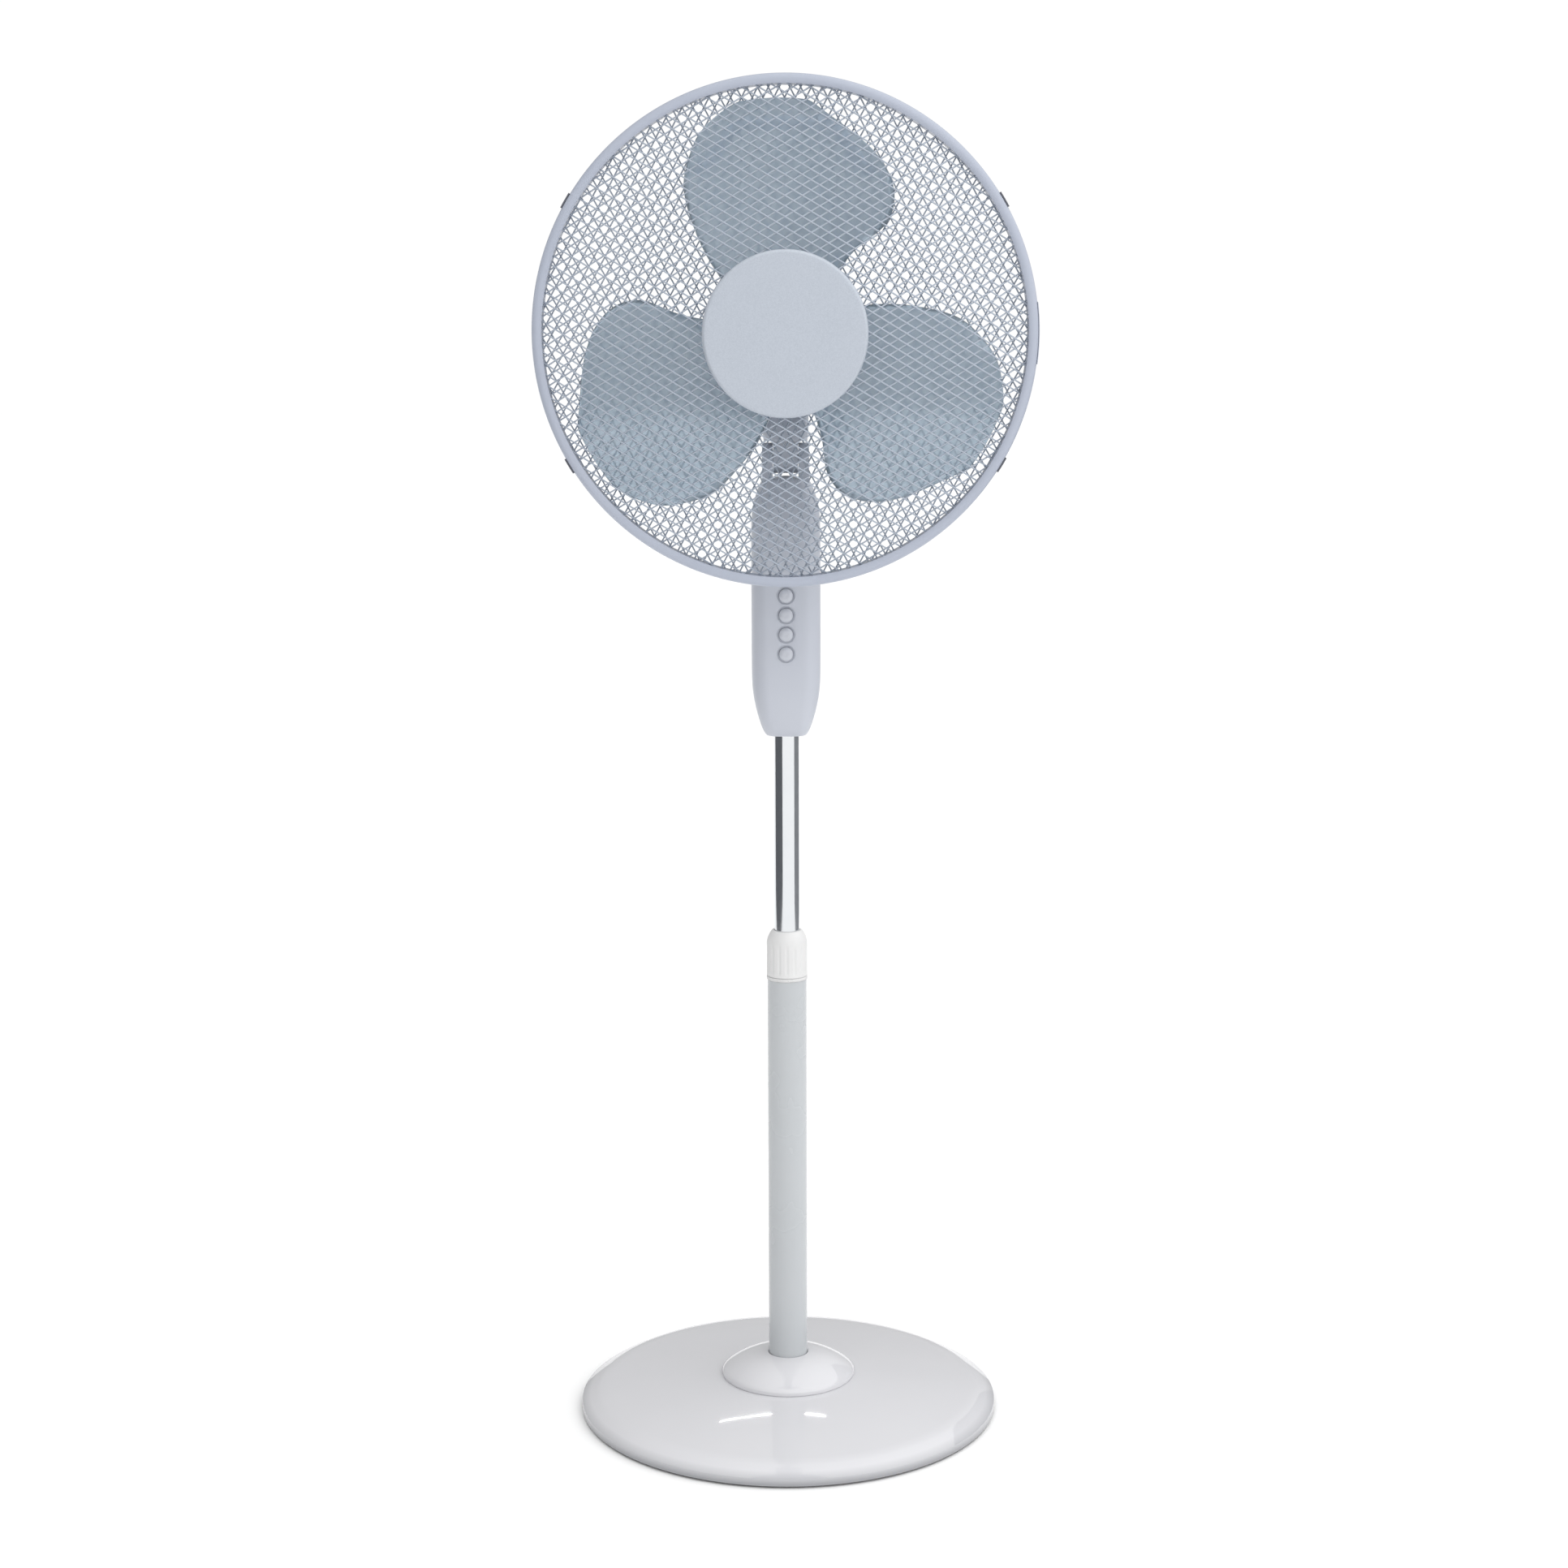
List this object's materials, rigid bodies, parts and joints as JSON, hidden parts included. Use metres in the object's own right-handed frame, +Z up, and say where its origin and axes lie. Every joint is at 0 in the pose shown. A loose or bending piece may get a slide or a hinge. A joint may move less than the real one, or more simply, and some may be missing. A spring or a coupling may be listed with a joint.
{
  "type": "pedestal fan",
  "caption": "Round-based pedestal fan with a telescopic pole, push-button control box, and a tilting, oscillating head in a two-part wire guard.",
  "frame": {"origin": "on the floor, under the middle of the object's bounding box, which is the pole's axis", "axes": "+Z up along the pole, which is the longest extent; air blows towards -Y, +X is to the right seen from the front"},
  "size_m": [0.4294, 0.39, 1.2144],
  "materials": {
    "base_cover": "gloss",
    "base_weight": "rough",
    "base_bottom_plate": "satin",
    "base_feet": "matte",
    "base_screws": "satin",
    "pole_flange": "satin",
    "flange_screws": "satin",
    "base_trim": "gloss",
    "outer_pole": "gloss",
    "lock_bushing": "matte",
    "grip_ring": "matte",
    "height_lock_nut": "satin",
    "inner_pole": "mirror",
    "inner_pole_guide": "matte",
    "control_front_shell": "satin",
    "control_rear_shell": "satin",
    "shell_screws": "satin",
    "pole_socket": "matte",
    "pole_clamp_screw": "satin",
    "switch_block": "matte",
    "capacitor": "matte",
    "cord_gland": "matte",
    "speed_button_high": "gloss",
    "speed_button_middle": "gloss",
    "speed_button_low": "gloss",
    "speed_button_off": "gloss",
    "tilt_bolt": "satin",
    "tilt_nut": "satin",
    "tilt_bracket": "satin",
    "pivot_bush": "matte",
    "pivot_shaft": "satin",
    "pivot_retaining_screw": "satin",
    "link_rod": "satin",
    "motor_front_bell": "satin",
    "motor_rear_bell": "satin",
    "motor_bolts": "satin",
    "stator_core": "satin",
    "stator_coils": "satin",
    "motor_bearings": "satin",
    "rotor_core": "satin",
    "motor_shaft": "polished",
    "drive_pin": "satin",
    "gearbox_case": "matte",
    "worm_wheel": "satin",
    "oscillation_crank": "satin",
    "oscillation_knob": "satin",
    "motor_rear_housing": "satin",
    "motor_front_plate": "matte",
    "housing_screws": "satin",
    "fan_blade": "translucent gloss",
    "blade_lock_nut": "satin",
    "rear_guard": "gloss",
    "guard_clamp_nut": "matte",
    "front_guard": "gloss",
    "guard_ring": "satin",
    "ring_clip": "satin",
    "rim_clips": "satin",
    "badge_plate": "satin",
    "badge_front": "pearl gloss",
    "carry_handle": "satin"
  },
  "bodies": {
    "base": {"base_cover": "base_cover", "base_weight": "base_weight", "base_bottom_plate": "base_bottom_plate", "base_feet": "base_feet", "base_screws": "base_screws", "pole_flange": "pole_flange", "flange_screws": "flange_screws", "base_trim": "base_trim", "outer_pole": "outer_pole", "lock_bushing": "lock_bushing", "grip_ring": "grip_ring"},
    "lock_nut": {"height_lock_nut": "height_lock_nut"},
    "column": {"inner_pole": "inner_pole", "inner_pole_guide": "inner_pole_guide", "control_front_shell": "control_front_shell", "control_rear_shell": "control_rear_shell", "shell_screws": "shell_screws", "pole_socket": "pole_socket", "pole_clamp_screw": "pole_clamp_screw", "switch_block": "switch_block", "capacitor": "capacitor", "cord_gland": "cord_gland", "tilt_bolt": "tilt_bolt", "tilt_nut": "tilt_nut"},
    "button_off": {"speed_button_off": "speed_button_off"},
    "button_low": {"speed_button_low": "speed_button_low"},
    "button_middle": {"speed_button_middle": "speed_button_middle"},
    "button_high": {"speed_button_high": "speed_button_high"},
    "neck": {"tilt_bracket": "tilt_bracket", "pivot_bush": "pivot_bush", "pivot_retaining_screw": "pivot_retaining_screw"},
    "link": {"link_rod": "link_rod"},
    "head": {"pivot_shaft": "pivot_shaft", "motor_front_bell": "motor_front_bell", "motor_rear_bell": "motor_rear_bell", "motor_bolts": "motor_bolts", "stator_core": "stator_core", "stator_coils": "stator_coils", "motor_bearings": "motor_bearings", "gearbox_case": "gearbox_case", "motor_rear_housing": "motor_rear_housing", "motor_front_plate": "motor_front_plate", "housing_screws": "housing_screws", "rear_guard": "rear_guard", "guard_clamp_nut": "guard_clamp_nut", "front_guard": "front_guard", "guard_ring": "guard_ring", "ring_clip": "ring_clip", "rim_clips": "rim_clips", "badge_plate": "badge_plate", "badge_front": "badge_front", "carry_handle": "carry_handle"},
    "rotor": {"motor_shaft": "motor_shaft", "rotor_core": "rotor_core", "drive_pin": "drive_pin", "fan_blade": "fan_blade", "blade_lock_nut": "blade_lock_nut"},
    "worm_gear": {"worm_wheel": "worm_wheel"},
    "crank": {"oscillation_crank": "oscillation_crank"},
    "knob": {"oscillation_knob": "oscillation_knob"}
  },
  "joints": [
    {"name": "height_lock_turn", "type": "hinge", "parent": "base", "child": "lock_nut", "pos_m": [0, 0, 0.44], "axis": [0, 0, 1], "range_deg": [0, 90]},
    {"name": "height_slide", "type": "slide", "parent": "base", "child": "column", "axis": [0, 0, 1], "range_m": [-0.17, 0.09]},
    {"name": "tilt", "type": "hinge", "parent": "column", "child": "neck", "pos_m": [0, 0, 0.89], "axis": [1, 0, 0], "range_deg": [-25, 15]},
    {"name": "link_swing", "type": "hinge", "parent": "neck", "child": "link", "pos_m": [0.013, 0.008, 0.9335], "axis": [0, 0, 1], "range_deg": [-50, 50]},
    {"name": "oscillation", "type": "hinge", "parent": "neck", "child": "head", "pos_m": [0, 0, 0.92], "axis": [0, 0, 1], "range_deg": [-45, 45]},
    {"name": "rotor_spin", "type": "hinge", "parent": "head", "child": "rotor", "pos_m": [0, -0.1, 1], "axis": [0, -1, 0], "continuous": true},
    {"name": "worm_gear_spin", "type": "hinge", "parent": "head", "child": "worm_gear", "pos_m": [0.016, 0.054, 0.99], "axis": [0, 0, 1], "continuous": true},
    {"name": "crank_spin", "type": "hinge", "parent": "head", "child": "crank", "pos_m": [0, 0.07189, 0.96], "axis": [0, 0, 1], "continuous": true},
    {"name": "oscillation_knob_pull", "type": "slide", "parent": "head", "child": "knob", "axis": [0, 0, 1], "range_m": [0, 0.008]},
    {"name": "button_off_press", "type": "slide", "parent": "column", "child": "button_off", "axis": [0, 1, 0], "range_m": [0, 0.004], "stiffness_N_per_m": 600},
    {"name": "button_low_press", "type": "slide", "parent": "column", "child": "button_low", "axis": [0, 1, 0], "range_m": [0, 0.004], "stiffness_N_per_m": 600},
    {"name": "button_middle_press", "type": "slide", "parent": "column", "child": "button_middle", "axis": [0, 1, 0], "range_m": [0, 0.004], "stiffness_N_per_m": 600},
    {"name": "button_high_press", "type": "slide", "parent": "column", "child": "button_high", "axis": [0, 1, 0], "range_m": [0, 0.004], "stiffness_N_per_m": 600}
  ],
  "couplings": [
    {"joint": "link_swing", "follows": "oscillation", "ratio": 1.1},
    {"joint": "worm_gear_spin", "follows": "rotor_spin", "ratio": -0.025},
    {"joint": "crank_spin", "follows": "rotor_spin", "ratio": 0.005}
  ]
}
